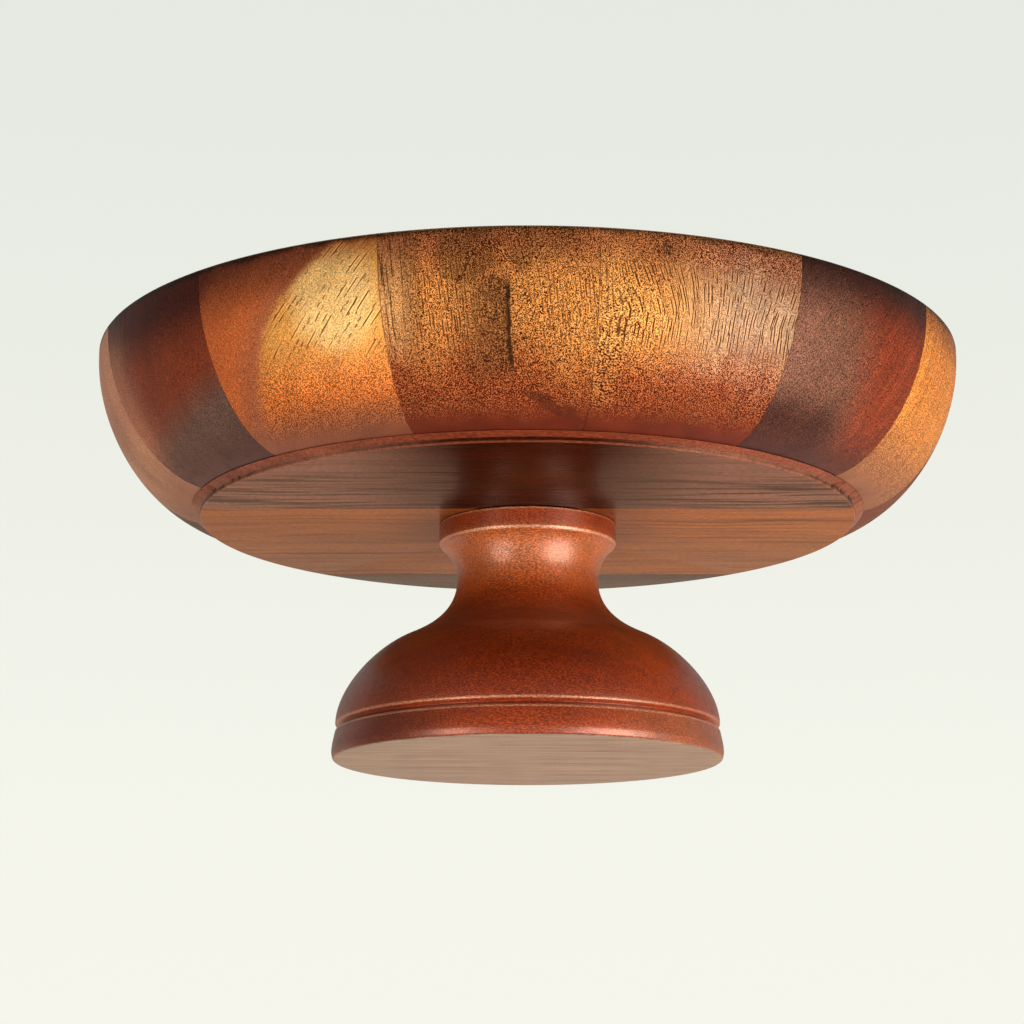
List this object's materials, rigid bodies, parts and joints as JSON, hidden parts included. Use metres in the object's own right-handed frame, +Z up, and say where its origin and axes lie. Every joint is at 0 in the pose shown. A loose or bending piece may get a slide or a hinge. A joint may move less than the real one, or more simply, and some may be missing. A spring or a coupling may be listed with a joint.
{
  "type": "pedestal bowl",
  "caption": "Round footed wooden bowl for serving: a wall of glued staves on a flat planked base board, carried by a turned pedestal with a collar, necked stem and bell foot.",
  "frame": {"origin": "centre of the pedestal's flat underside, on the surface that the bowl stands on", "axes": "+Z up along the turning axis; -Y is the front, the side the picture was taken from; +X is to its right"},
  "size_m": [0.2538, 0.2538, 0.1186],
  "materials": {
    "pedestal_wood": "satin lacquer",
    "dowel_wood": "bare",
    "plank_dark": "satin lacquer",
    "plank_red": "satin lacquer",
    "plank_grey": "satin lacquer",
    "stave_golden": "satin lacquer",
    "stave_amber": "satin lacquer",
    "stave_russet": "satin lacquer",
    "stave_umber": "satin lacquer",
    "stave_tan": "satin lacquer"
  },
  "bodies": {
    "root": {"pedestal": "pedestal_wood", "pedestal_dowel": "dowel_wood", "base_plank_front": "plank_dark", "base_plank_middle": "plank_red", "base_plank_rear": "plank_grey", "stave_01": "stave_golden", "stave_02": "stave_amber", "stave_03": "stave_umber", "stave_04": "stave_golden", "stave_05": "stave_russet", "stave_06": "stave_tan", "stave_07": "stave_umber", "stave_08": "stave_amber", "stave_09": "stave_russet", "stave_10": "stave_golden", "stave_11": "stave_umber", "stave_12": "stave_tan", "stave_13": "stave_umber", "stave_14": "stave_amber"}
  },
  "joints": []
}
